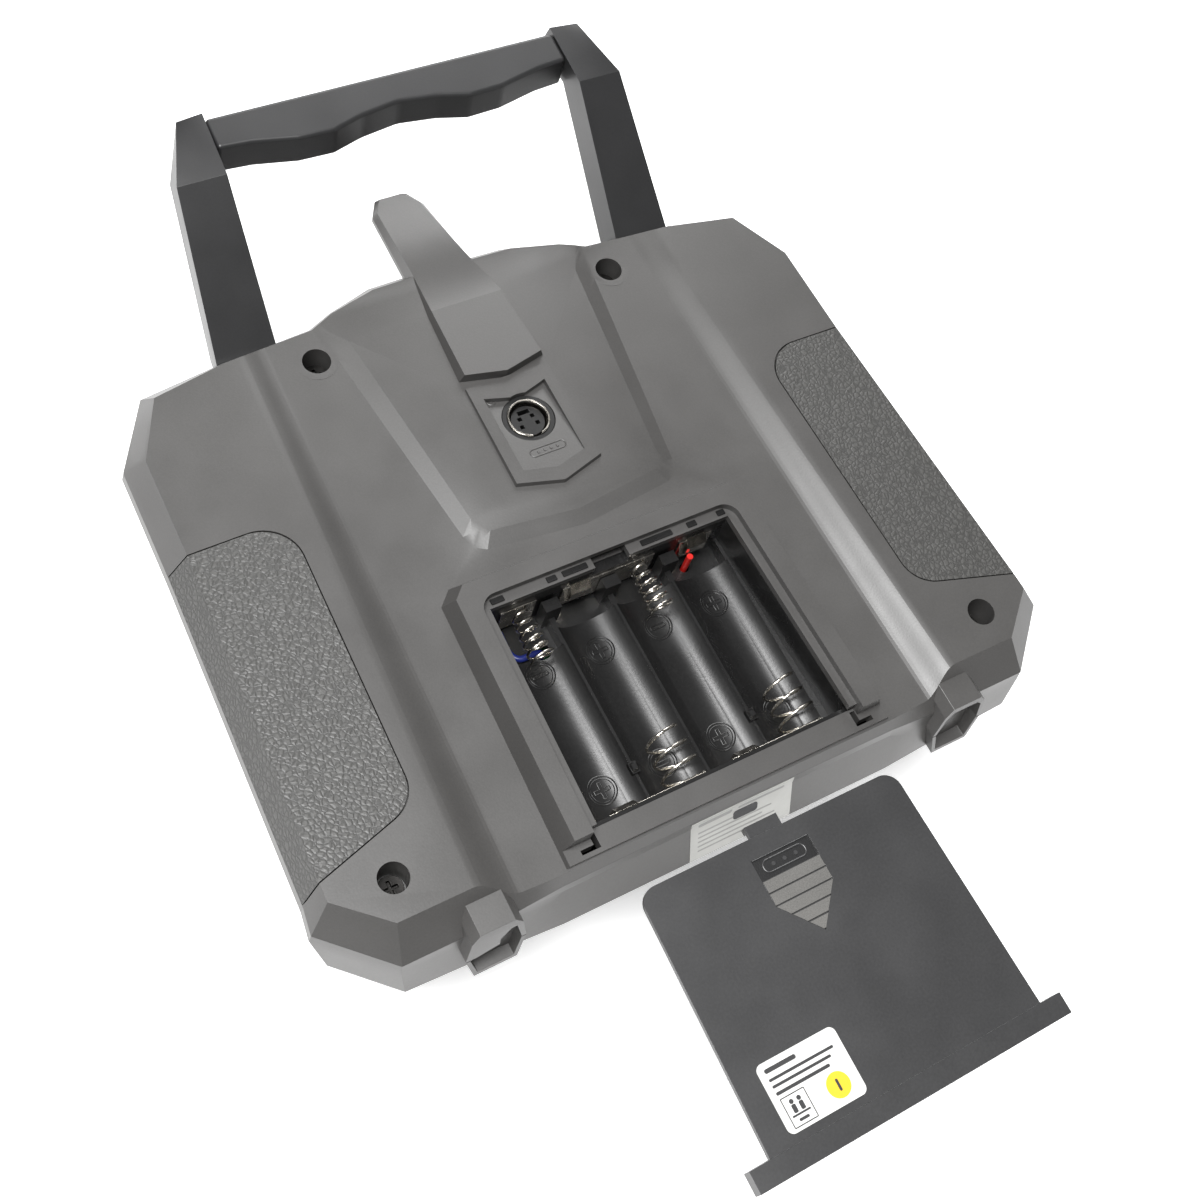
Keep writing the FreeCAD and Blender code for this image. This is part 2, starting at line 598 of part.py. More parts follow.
def battery_box():
    """Tub with four shallow troughs, thin fins between them, and contact pockets at the upper end."""
    outline = opening_outline(0.15, OPENING_END_Y + 0.15, OPENING_TOP_Y - 0.15)
    inner = opening_outline(LEDGE_WIDTH, TROUGH_END_Y, POCKET_TOP_Y)
    tub = prism(outline, BOX_FLOOR_Z, LEDGE_Z0 - 0.1, [0, 0, 3.8, 3.8])
    tub = tub.cut(prism(inner, FIN_TOP_Z, 5.0))
    room = prism(inner, -20.0, 5.0)
    for x in CELL_X:
        top = FIRST_TROUGH_TOP_Y if x == CELL_X[0] else TROUGH_TOP_Y
        axis_z = TROUGH_FLOOR_Z + TROUGH_R
        trough = rod((x, top + 0.1, axis_z), (x, TROUGH_END_Y, axis_z), TROUGH_R)
        lane_half = (CELL_PITCH - FIN_THICKNESS) / 2
        lane = box(x - lane_half, x + lane_half, -60, 0, -20, 5)
        tub = tub.cut(trough.common(room).common(lane))
        pocket = box(x - 7.2, x + 7.2, top, POCKET_TOP_Y, POCKET_FLOOR_Z, 5.0)
        tub = tub.cut(pocket.common(room))
    # Fins between the cells, a small catch on two of them, and blocks that part the contact pockets.
    for x in (-CELL_PITCH, 0, CELL_PITCH):
        half = FIN_THICKNESS / 2
        tub = tub.fuse(box(x - half, x + half, TROUGH_TOP_Y - 1.0, FIN_START_Y,
                           POCKET_FLOOR_Z - 0.2, FIN_TOP_Z))
        tub = tub.fuse(box(x - 2.1, x + 2.1, FIN_START_Y, UPPER_CONTACT_Y - 0.1,
                           POCKET_FLOOR_Z - 0.2, -6.6))
        if x != 0:
            tub = tub.fuse(box(x - 1.0, x + 1.0, NUB_Y - 1.4, NUB_Y + 1.4, FIN_TOP_Z - 2.0,
                               FIN_TOP_Z + 0.9))
    # Slots that hold the contact plates.
    tub = tub.cut(box(-29.0, 29.0, UPPER_CONTACT_Y - 0.05, POCKET_TOP_Y, CONTACT_LOW_Z - 0.2, 5.0))
    for x0, x1 in LOWER_PLATES:
        tub = tub.cut(box(x0 - 0.2, x1 + 0.2, TROUGH_END_Y - 0.01,
                          LOWER_CONTACT_Y + CONTACT_THICKNESS + 0.1,
                          CONTACT_LOW_Z - 0.2, 5.0))
    # Holes for the leads, and the notch for the door's latch in the upper wall.
    tub = tub.cut(cylinder(RED_LEAD[0][0], RED_LEAD[0][1], -20, -10, 1.2))
    tub = tub.cut(cylinder(BLUE_LEAD[-2][0] - 0.6, BLUE_LEAD[-2][1], -20, -10, 2.4))
    tub = tub.cut(box(-4.9, 4.9, POCKET_TOP_Y - 1, OPENING_TOP_Y + 1, -3.6, 5))
    # The end wall is lower: the door's rail passes over it.
    wide = OPENING_HALF_END + 2
    tub = tub.cut(box(-wide, wide, -70, TROUGH_END_Y + 0.6, END_STRIP_Z - 0.5, 5))
    return tub.removeSplitter()


def cell_spring(x, start_y, start_r, end_r, coils, wire_r):
    """Conical compression spring along the cell, widening from its start towards the handle's far side."""
    cone = math.degrees(math.atan((end_r - start_r) / SPRING_LENGTH))
    helix = Part.makeHelix(SPRING_LENGTH / coils, SPRING_LENGTH, start_r, cone)
    start = helix.Vertexes[0].Point
    section = Part.Wire(Part.makeCircle(wire_r, start, Vector(0, 1, 0)))
    sweep = Part.BRepOffsetAPI.MakePipeShell(Part.Wire(helix))
    sweep.setFrenetMode(True)
    sweep.add(section)
    sweep.build()
    sweep.makeSolid()
    spring = sweep.shape()
    spring.rotate(Vector(0, 0, 0), Vector(1, 0, 0), 90)
    spring.translate(Vector(x, start_y, CELL_AXIS_Z))
    return spring


def contact_springs():
    """Two narrow springs at the upper end of the bay and two wide ones at the lower end."""
    top = UPPER_CONTACT_Y - 0.5
    low = LOWER_CONTACT_Y + CONTACT_THICKNESS + 0.5
    springs = [cell_spring(CELL_X[i], top, *UPPER_SPRING) for i in (0, 2)]
    springs += [cell_spring(CELL_X[i], low + SPRING_LENGTH, *LOWER_SPRING) for i in (1, 3)]
    return Part.makeCompound(springs)


def contact_plate(x0, x1, y, tongue_x=None, facing=-1):
    """Sheet-metal contact; where a cell's positive end meets it, a tongue is folded out."""
    plate = box(x0, x1, y, y + CONTACT_THICKNESS, CONTACT_LOW_Z, CONTACT_TOP_Z)
    if tongue_x is not None:
        root = y + CONTACT_THICKNESS / 2
        crest = root + facing * TONGUE_REACH
        fold = [(root, CELL_AXIS_Z + 3.2), (crest, CELL_AXIS_Z + 0.6), (crest, CELL_AXIS_Z - 2.2),
                (root, CELL_AXIS_Z - 5.4)]
        section = [Vector(tongue_x - TONGUE_HALF, yy, zz) for yy, zz in fold]
        tongue = Part.Face(Part.makePolygon(section + section[:1])).extrude(Vector(2 * TONGUE_HALF, 0, 0))
        plate = plate.fuse(tongue)
    return plate


def battery_lead(points):
    """A wire along a route of straight runs joined by tangent arcs."""
    points = [Vector(*p) for p in points]
    edges = []
    start = points[0]
    for i in range(1, len(points) - 1):
        before = points[i - 1] - points[i]
        after = points[i + 1] - points[i]
        reach = 0.45 * min(before.Length, after.Length)
        first = points[i] + before.normalize() * reach
        last = points[i] + after.normalize() * reach
        half = before.getAngle(after) / 2
        radius = reach * math.tan(half)
        bisector = (before + after).normalize()
        middle = points[i] + bisector * (radius / math.sin(half) - radius)
        edges.append(Part.makeLine(start, first))
        edges.append(Part.Arc(first, middle, last).toShape())
        start = last
    edges.append(Part.makeLine(start, points[-1]))
    path = Part.Wire(edges)
    section = Part.Wire(Part.makeCircle(LEAD_R, points[0], points[1] - points[0]))
    return path.makePipeShell([section], True, True)


# ---------------------------------------------------------------- battery door

def battery_door():
    panel = [(-DOOR_HALF_END, DOOR_RAIL_Y1), (DOOR_HALF_END, DOOR_RAIL_Y1), (DOOR_HALF_TOP, DOOR_TOP_Y),
             (-DOOR_HALF_TOP, DOOR_TOP_Y)]
    door = prism(panel, DOOR_Z0, DOOR_Z1, [0, 0, DOOR_CORNER_R, DOOR_CORNER_R])
    door = door.fuse(box(-DOOR_RAIL_HALF, DOOR_RAIL_HALF, DOOR_RAIL_Y0, DOOR_RAIL_Y1, -1.7, 2.2))
    door = door.fuse(box(-DOOR_HALF_END, DOOR_HALF_END, DOOR_RAIL_Y0 + 1.0, DOOR_RAIL_Y1,
                         END_STRIP_Z + 0.4, 0.0))
    # Spring latch, folded back under the panel's upper edge.
    latch = box(-4.2, 4.2, DOOR_TOP_Y - 6.0, DOOR_TOP_Y + 3.0, LATCH_Z0, LATCH_Z1)
    latch = latch.fuse(box(-4.2, 4.2, DOOR_TOP_Y - 6.0, DOOR_TOP_Y - 0.6, LATCH_Z1, DOOR_Z0))
    latch = latch.fuse(box(-4.2, 4.2, DOOR_TOP_Y + 1.6, DOOR_TOP_Y + 3.0, LATCH_HOOK_Z, LATCH_Z1))
    door = door.fuse(latch)
    # Push area: a shallow recess, pointed towards the rail, crossed by ribs.
    top = DOOR_TOP_Y - 4.4
    arrow = [(-7.4, top), (-7.4, top - 11.0), (0, top - 19.8), (7.4, top - 11.0), (7.4, top)]
    recess = prism(arrow, DOOR_Z1 - 0.5, DOOR_Z1 + 1)
    door = door.cut(recess)
    for i in range(5):
        y = top - 6.4 - 2.9 * i
        rib = box(-8, 8, y - 1.0, y + 1.0, DOOR_Z1 - 0.6, DOOR_Z1 + 0.1)
        door = door.fuse(rib.common(prism(arrow, DOOR_Z1 - 0.6, DOOR_Z1 + 1)))
    return door.removeSplitter()


def door_label():
    x, y, half_w, half_h = -19.2, -50.4, 9.7, 7.4
    corners = [(x - half_w, y - half_h), (x + half_w, y - half_h), (x + half_w, y + half_h),
               (x - half_w, y + half_h)]
    return prism(corners, DOOR_Z1, DOOR_Z1 + 0.15, [1.5, 1.5, 1.5, 1.5])


def base_label():
    patch = box(-11.5, 16.0, -90, -40, -20.3, -7.8)
    return front_outer(0.15).common(patch).cut(front_outer())


# ---------------------------------------------------------------- inside and front

def gimbal_housing():
    x, y, half = GIMBAL_X, GIMBAL_Y, GIMBAL_HALF
    cup = box(x - half, x + half, y - half, y + half, FACE_Z + WALL, -13.0)
    cup = cup.cut(box(x - half + 2.2, x + half - 2.2, y - half + 2.2, y + half - 2.2, FACE_Z, -15.0))
    bore = rod((x - half - 1, y, PIVOT_Z), (x + half + 1, y, PIVOT_Z), PIN_R + PIN_CLEARANCE)
    return cup.cut(bore)


def yoke():
    """Frame that turns about X inside the housing and carries the stick's cross pin."""
    x, y = GIMBAL_X, GIMBAL_Y
    frame = box(x - YOKE_HALF, x + YOKE_HALF, y - YOKE_HALF, y + YOKE_HALF, PIVOT_Z - 2.6, PIVOT_Z + 2.6)
    window = YOKE_WINDOW
    frame = frame.cut(box(x - window, x + window, y - window, y + window, PIVOT_Z - 5, PIVOT_Z + 5))
    reach = GIMBAL_HALF - 0.4
    frame = frame.fuse(rod((x - reach, y, PIVOT_Z), (x - YOKE_HALF + 1, y, PIVOT_Z), PIN_R))
    frame = frame.fuse(rod((x + YOKE_HALF - 1, y, PIVOT_Z), (x + reach, y, PIVOT_Z), PIN_R))
    cross = rod((x, y - YOKE_HALF - 1, PIVOT_Z), (x, y + YOKE_HALF + 1, PIVOT_Z),
                PIN_R - 0.4 + PIN_CLEARANCE)
    return frame.cut(cross).removeSplitter()


def stick():
    """Dome, post and cross pin, all one piece, turning about Y in the yoke."""
    x, y = GIMBAL_X, GIMBAL_Y
    centre = Vector(x, y, PIVOT_Z)
    dome = Part.makeSphere(DOME_R, centre).cut(Part.makeSphere(DOME_R - DOME_WALL, centre))
    rim_z = PIVOT_Z - DOME_R * math.cos(math.radians(DOME_HALF_ANGLE))
    dome = dome.common(box(x - 30, x + 30, y - 30, y + 30, PIVOT_Z - 30, rim_z))
    dome = dome.cut(box(x - 30, x + 30, y - 2.8, y + 2.8, rim_z - 4.0, rim_z + 10))
    post = cylinder(x, y, -48.0, PIVOT_Z, 3.0)
    pin = rod((x, y - YOKE_HALF + 0.2, PIVOT_Z), (x, y + YOKE_HALF - 0.2, PIVOT_Z), PIN_R - 0.4)
    hub = Part.makeSphere(4.2, centre)
    neck = cylinder(x, y, -52.5, -44.0, 1.9)
    return fused([dome, post, pin, hub, neck])


def stick_tip():
    """Knurled metal tip."""
    x, y = GIMBAL_X, GIMBAL_Y
    tip = cylinder(x, y, FLOOR_Z, -49.0, 3.4)
    for i in range(12):
        angle = math.radians(30 * i)
        tip = tip.cut(cylinder(x + 3.7 * math.cos(angle), y + 3.7 * math.sin(angle), FLOOR_Z + 1.0,
                               -50.0, 0.65))
    crown = Part.makeCone(0.9, 2.2, 1.5, Vector(x, y, FLOOR_Z - 0.001), Vector(0, 0, 1))
    tip = tip.cut(crown)
    return tip.cut(cylinder(x, y, -52.5, -40.0, 1.9))


def trim(x, y, along_y):
    """Trim slider: finger piece outside, stem through the slot, flange inside."""
    if along_y:
        cap = box(x - 3.4, x + 3.4, y - 2.2, y + 2.2, FACE_Z - 3.4, FACE_Z - 0.4)
        stem = box(x - 1.2, x + 1.2, y - 1.6, y + 1.6, FACE_Z - 1.0, FACE_Z + 4.0)
        flange = box(x - 3.0, x + 3.0, y - 4.0, y + 4.0, FACE_Z + WALL + 0.3, FACE_Z + WALL + 1.9)
    else:
        cap = box(x - 2.2, x + 2.2, y - 3.4, y + 3.4, FACE_Z - 3.4, FACE_Z - 0.4)
        stem = box(x - 1.6, x + 1.6, y - 1.2, y + 1.2, FACE_Z - 1.0, FACE_Z + 4.0)
        flange = box(x - 4.0, x + 4.0, y - 3.0, y + 3.0, FACE_Z + WALL + 0.3, FACE_Z + WALL + 1.9)
    return fused([cap, stem, flange])


def toggle_switches():
    result = []
    for x, y in TOGGLE_XY:
        barrel = cylinder(x, y, FACE_Z - 5.0, FACE_Z + WALL + 0.01, 2.95)
        body = box(x - 4.2, x + 4.2, y - 6.0, y + 6.0, FACE_Z + WALL, FACE_Z + WALL + 9.0)
        nut = Part.Face(Part.makePolygon(
            [Vector(x + 4.9 * math.cos(math.radians(60 * i)),
                    y + 4.9 * math.sin(math.radians(60 * i)), FACE_Z - 2.0)
             for i in range(7)])).extrude(Vector(0, 0, 2.0))
        switch = fused([barrel, body, nut])
        result.append(switch.cut(cylinder(x, y, FACE_Z - 6, FACE_Z + 0.5, 2.2)))
    return Part.makeCompound(result)


def toggle_lever(x, y):
    pin = rod((x - 1.7, y, TOGGLE_PIVOT_Z), (x + 1.7, y, TOGGLE_PIVOT_Z), 1.4)
    bat = Part.makeCone(2.1, 1.1, 10.5, Vector(x, y, TOGGLE_PIVOT_Z - 10.5), Vector(0, 0, 1))
    end = Part.makeSphere(2.1, Vector(x, y, TOGGLE_PIVOT_Z - 10.5))
    return fused([bat, pin, end])


def knob_pots():
    result = []
    for side in (-1, 1):
        x = side * KNOB_X
        can = cylinder(x, KNOB_Y, FACE_Z + WALL, FACE_Z + WALL + 6.0, 7.6)
        shaft = cylinder(x, KNOB_Y, FACE_Z - 7.0, FACE_Z + WALL + 0.5, 3.0)
        result.append(can.fuse(shaft).removeSplitter())
    return Part.makeCompound(result)


def knob():
    body = cylinder(KNOB_X, KNOB_Y, FACE_Z - 9.0, FACE_Z - 0.4, KNOB_R)
    for i in range(12):
        angle = math.radians(30 * i)
        body = body.cut(cylinder(KNOB_X + 6.9 * math.cos(angle), KNOB_Y + 6.9 * math.sin(angle),
                                 FACE_Z - 8.2, FACE_Z + 0.0, 0.8))
    body = body.cut(box(KNOB_X - 0.4, KNOB_X + 0.4, KNOB_Y + 1.5, KNOB_Y + 8, FACE_Z - 10, FACE_Z - 8.5))
    return body.cut(cylinder(KNOB_X, KNOB_Y, FACE_Z - 7.2, FACE_Z + 1, 3.05))


def key(x, y):
    cap = cylinder(x, y, FACE_Z - 1.4, FACE_Z + WALL + 0.8, KEY_R)
    flange = cylinder(x, y, FACE_Z + WALL + 0.15, FACE_Z + WALL + 1.2, KEY_R + 1.2)
    return cap.fuse(flange).removeSplitter()


def power_slider():
    stem = box(-2.5 - 1.6, -2.5 + 1.6, POWER_Y - 1.7, POWER_Y + 1.7, FACE_Z - 2.4, FACE_Z + 4.0)
    flange = box(-2.5 - 4.5, -2.5 + 4.5, POWER_Y - 3.2, POWER_Y + 3.2, FACE_Z + WALL + 0.3,
                 FACE_Z + WALL + 1.9)
    return stem.fuse(flange).removeSplitter()


def status_light():
    lamp = cylinder(0, LIGHT_Y, FACE_Z - 0.6, FACE_Z + WALL + 3.0, 2.5)
    dome = Part.makeSphere(2.5, Vector(0, LIGHT_Y, FACE_Z - 0.6))
    return lamp.fuse(dome).removeSplitter()


def strap_eye():
    """Lug for a neck strap, drilled across."""
    lug = box(-EYE_THICKNESS / 2, EYE_THICKNESS / 2, EYE_Y - 5.0, EYE_Y + 5.0, FACE_Z - 5.5, FACE_Z)
    crown = rod((-EYE_THICKNESS / 2, EYE_Y, FACE_Z - 5.5), (EYE_THICKNESS / 2, EYE_Y, FACE_Z - 5.5), 5.0)
    foot_plate = cylinder(0, EYE_Y, FACE_Z - 1.2, FACE_Z, 6.5)
    eye = fused([lug, crown, foot_plate])
    return eye.cut(rod((-5, EYE_Y, FACE_Z - 5.6), (5, EYE_Y, FACE_Z - 5.6), EYE_BORE_R))


def display_window():
    return box(-30.8, 30.8, DISPLAY_Y - 17.8, DISPLAY_Y + 17.8, FACE_Z + 0.1, FACE_Z + 1.6)


def display_module():
    return box(-33, 33, DISPLAY_Y - 19, DISPLAY_Y + 19, FACE_Z + WALL, FACE_Z + WALL + 3.6)


def main_board():
    wide = box(-48, 48, -56, -11, -29.9, -28.3)
    tall = box(-20, 20, -12, 52, -29.9, -28.3)
    return wide.fuse(tall).removeSplitter()


def radio_module():
    return box(-14, 14, 56, 80, -24.0, -18.0)


# ---------------------------------------------------------------- writing the pieces

def pieces():
    rear_solid = rear_outer()
    front_solid = front_outer()
    rear = rear_case()
    right_arm = handle_arm([rear_solid, front_solid])
    left_arm = mirrored(right_arm)
    right_grip = grip()
    out = {
        "rear_case": rear,
        "front_case": front_case(),
        "grip_right": right_grip,
        "grip_left": mirrored(right_grip),
        "handle_arm_right": right_arm,
        "handle_arm_left": left_arm,
        "handle_bar": handle_bar([right_arm, left_arm]),
        "aerial": aerial(rear),
        "trainer_body": trainer_body(),
        "trainer_shell": trainer_shell(),
        "trainer_insert": trainer_insert(),
        "battery_box": battery_box(),
        "contact_springs": contact_springs(),
        "contact_bridge_upper": contact_plate(-12.4, 12.4, UPPER_CONTACT_Y, CELL_X[1]),
        "contact_bridges_lower": Part.makeCompound([
            contact_plate(*LOWER_PLATES[0], LOWER_CONTACT_Y, CELL_X[0], 1),
            contact_plate(*LOWER_PLATES[1], LOWER_CONTACT_Y, CELL_X[2], 1)]),
        "contact_end_minus": contact_plate(-28.6, -19.4, UPPER_CONTACT_Y),
        "contact_end_plus": contact_plate(19.4, 28.6, UPPER_CONTACT_Y, CELL_X[3]),
        "lead_blue": battery_lead(BLUE_LEAD),
        "lead_red": battery_lead(RED_LEAD),
        "base_label": base_label(),
        "case_screws": case_screws(),
        "foot_right": foot([rear_solid, front_solid], FOOT_OPENING),
        "foot_left": mirrored(foot([rear_solid, front_solid], FOOT_OPENING_HALF)),
        "main_board": main_board(),
        "radio_module": radio_module(),
        "display_module": display_module(),
        "display_window": display_window(),
        "status_light": status_light(),
        "strap_eye": strap_eye(),
        "gimbal_housing_right": gimbal_housing(),
        "gimbal_housing_left": mirrored(gimbal_housing()),
        "yoke_right": yoke(),
        "yoke_left": mirrored(yoke()),
        "stick_right": stick(),
        "stick_left": mirrored(stick()),
        "stick_tip_right": stick_tip(),
        "stick_tip_left": mirrored(stick_tip()),
        "trim_side_right": trim(TRIM_SIDE_X, GIMBAL_Y, True),
        "trim_side_left": trim(-TRIM_SIDE_X, GIMBAL_Y, True),
        "trim_low_right": trim(GIMBAL_X, TRIM_LOW_Y, False),
        "trim_low_left": trim(-GIMBAL_X, TRIM_LOW_Y, False),
        "toggle_switches": toggle_switches(),
        "knob_pots": knob_pots(),
        "knob_right": knob(),
        "knob_left": mirrored(knob()),
        "power_slider": power_slider(),
    }
    for i, (x, y) in enumerate(TOGGLE_XY):
        out["toggle_lever_%d" % (i + 1)] = toggle_lever(x, y)
    number = 1
    for side in (-1, 1):
        for y in KEY_Y:
            out["key_%d" % number] = key(side * KEY_X, y)
            number += 1
    return out


def main():
    os.makedirs("parts", exist_ok=True)
    for name, shape in pieces().items():
        place(shape).exportStep("parts/%s.step" % name)
    for name, shape in (("battery_door", battery_door()), ("door_label", door_label())):
        place(shape, -DOOR_SLID_OUT).exportStep("parts/%s.step" % name)


main()
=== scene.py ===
import json
import math

import bpy
import bmesh
from mathutils import Matrix, Vector


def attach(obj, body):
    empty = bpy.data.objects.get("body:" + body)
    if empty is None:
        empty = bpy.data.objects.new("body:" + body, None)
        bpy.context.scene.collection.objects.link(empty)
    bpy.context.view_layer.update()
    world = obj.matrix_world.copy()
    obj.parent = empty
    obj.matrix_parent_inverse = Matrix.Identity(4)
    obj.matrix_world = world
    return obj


# Hand-held radio-control transmitter lying face-down, seen from above its lower left corner.
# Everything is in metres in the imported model's frame: X right, Y to the handle, Z up.

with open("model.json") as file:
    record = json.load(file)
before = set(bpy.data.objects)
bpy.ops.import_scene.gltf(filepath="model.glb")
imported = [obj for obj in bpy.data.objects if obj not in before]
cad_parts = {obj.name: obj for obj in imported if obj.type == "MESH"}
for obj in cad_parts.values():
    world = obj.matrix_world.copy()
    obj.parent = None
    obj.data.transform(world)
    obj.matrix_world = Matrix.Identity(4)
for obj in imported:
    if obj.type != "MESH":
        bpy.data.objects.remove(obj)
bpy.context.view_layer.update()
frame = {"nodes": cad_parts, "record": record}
MM = 0.001


# ---------------------------------------------------------------- materials

class Nodes:
    """A short way to write a shader: each call adds a node and gives it back."""

    def __init__(self, name):
        self.material = bpy.data.materials.new(name)
        self.material.use_nodes = True
        self.tree = self.material.node_tree
        self.shader = self.tree.nodes["Principled BSDF"]
        self.place = self.add("ShaderNodeTexCoord").outputs["Object"]

    def add(self, kind, inputs=None, **settings):
        node = self.tree.nodes.new(kind)
        for key, value in settings.items():
            setattr(node, key, value)
        for key, value in (inputs or {}).items():
            if isinstance(value, bpy.types.NodeSocket):
                self.tree.links.new(value, node.inputs[key])
            else:
                node.inputs[key].default_value = value
        return node

    def noise(self, size_mm, detail=2.0, roughness=0.5):
        node = self.add("ShaderNodeTexNoise", {"Vector": self.place, "Scale": 1.0 / (size_mm * MM),
                                               "Detail": detail, "Roughness": roughness})
        return node.outputs["Fac"]

    def ramp(self, value, low, high, start=0.0, end=1.0):
        node = self.add("ShaderNodeMapRange", {"Value": value, "From Min": start, "From Max": end,
                                               "To Min": low, "To Max": high})
        return node.outputs["Result"]

    def mix(self, factor, first, second):
        node = self.add("ShaderNodeMix", {0: factor, 6: first, 7: second}, data_type="RGBA")
        return node.outputs[2]

    def math(self, operation, first, second=0.0):
        node = self.add("ShaderNodeMath", {0: first, 1: second}, operation=operation)
        return node.outputs[0]

    def bump(self, height, depth_mm):
        inputs = {"Height": height, "Strength": 1.0, "Distance": depth_mm * MM}
        return self.add("ShaderNodeBump", inputs).outputs["Normal"]

    def link(self, value, socket):
        self.tree.links.new(value, self.shader.inputs[socket])


def shade(colour, factor):
    return tuple(min(1.0, c * factor) for c in colour[:3]) + (1.0,)


def moulded(name, colour, roughness=0.5, grain_mm=0.5, depth_mm=0.02, contrast=0.10, specular=0.5):
    """Moulded plastic: a fine spark-eroded grain with a slight change of gloss over it."""
    n = Nodes(name)
    grain = n.noise(grain_mm, 2.0, 0.65)
    cloud = n.noise(14.0, 2.0)
    blend = n.math("ADD", n.math("MULTIPLY", cloud, 0.3), n.math("MULTIPLY", grain, 0.7))
    spread = n.ramp(blend, 0.0, 1.0, 0.35, 0.65)
    n.link(n.mix(spread, shade(colour, 1 - contrast), shade(colour, 1 + contrast)), "Base Color")
    n.link(n.ramp(cloud, roughness - 0.03, roughness + 0.03, 0.3, 0.7), "Roughness")
    n.link(n.bump(grain, depth_mm), "Normal")
    n.shader.inputs["Specular IOR Level"].default_value = specular
    return n.material


def leather(name, colour):
    """Wrinkled leather grain moulded into rubber, with painted shade in its grooves and a painted highlight on
    its pebble tops.
    """
    n = Nodes(name)
    warp = n.add("ShaderNodeTexNoise", {"Vector": n.place, "Scale": 450.0, "Detail": 2.0})
    scaled = n.add("ShaderNodeVectorMath", {0: warp.outputs["Color"], "Scale": 0.0012}, operation="SCALE")
    moved = n.add("ShaderNodeVectorMath", {0: n.place, 1: scaled.outputs[0]}, operation="ADD")
    cells = n.add("ShaderNodeTexVoronoi", {"Vector": moved.outputs[0], "Scale": 820.0, "Randomness": 1.0},
                  feature="DISTANCE_TO_EDGE")
    pebble_height_and_shade = n.ramp(cells.outputs["Distance"], 0.0, 1.0, 0.0, 0.30)
    fine = n.noise(0.22, 2.0)
    height = n.math("ADD", pebble_height_and_shade, n.math("MULTIPLY", fine, 0.35))
    # Painted shade and highlight: the base colour follows the bump height, darker in the grooves and lighter on
    # the pebble tops.
    n.link(n.mix(pebble_height_and_shade, shade(colour, 0.62), shade(colour, 1.12)), "Base Color")
    n.link(n.ramp(fine, 0.40, 0.54, 0.3, 0.7), "Roughness")
    n.link(n.bump(height, 0.075), "Normal")
    n.shader.inputs["Specular IOR Level"].default_value = 0.7
    return n.material


def metal(name, colour, roughness=0.25, brushed=False):
    n = Nodes(name)
    n.shader.inputs["Metallic"].default_value = 1.0
    smudge = n.noise(2.5, 3.0)
    fine = n.noise(0.12, 2.0)
    n.link(n.mix(n.ramp(smudge, 0.0, 1.0, 0.35, 0.65), shade(colour, 0.8), shade(colour, 1.05)), "Base Color")
    n.link(n.ramp(smudge, roughness - 0.08, roughness + 0.1, 0.3, 0.7), "Roughness")
    n.link(n.bump(fine, 0.01 if brushed else 0.003), "Normal")
    return n.material


def film(name, colour, roughness=0.35, metallic=0.0, specular=0.5):
    """Printed or plain sticker film, and ink."""
    n = Nodes(name)
    n.shader.inputs["Metallic"].default_value = metallic
    n.shader.inputs["Specular IOR Level"].default_value = specular
    n.link(n.mix(n.noise(4.0, 3.0), shade(colour, 0.92), shade(colour, 1.04)), "Base Color")
    n.link(n.ramp(n.noise(1.0), roughness - 0.05, roughness + 0.08, 0.3, 0.7), "Roughness")
    n.link(n.bump(n.noise(1.5, 2.0), 0.01), "Normal")
    return n.material


def clear(name, colour, transmission=0.85):
    n = Nodes(name)
    n.link(n.mix(n.noise(8.0), shade(colour, 0.9), shade(colour, 1.1)), "Base Color")
    n.link(n.ramp(n.noise(0.8), 0.04, 0.1), "Roughness")
    n.shader.inputs["Transmission Weight"].default_value = transmission
    return n.material


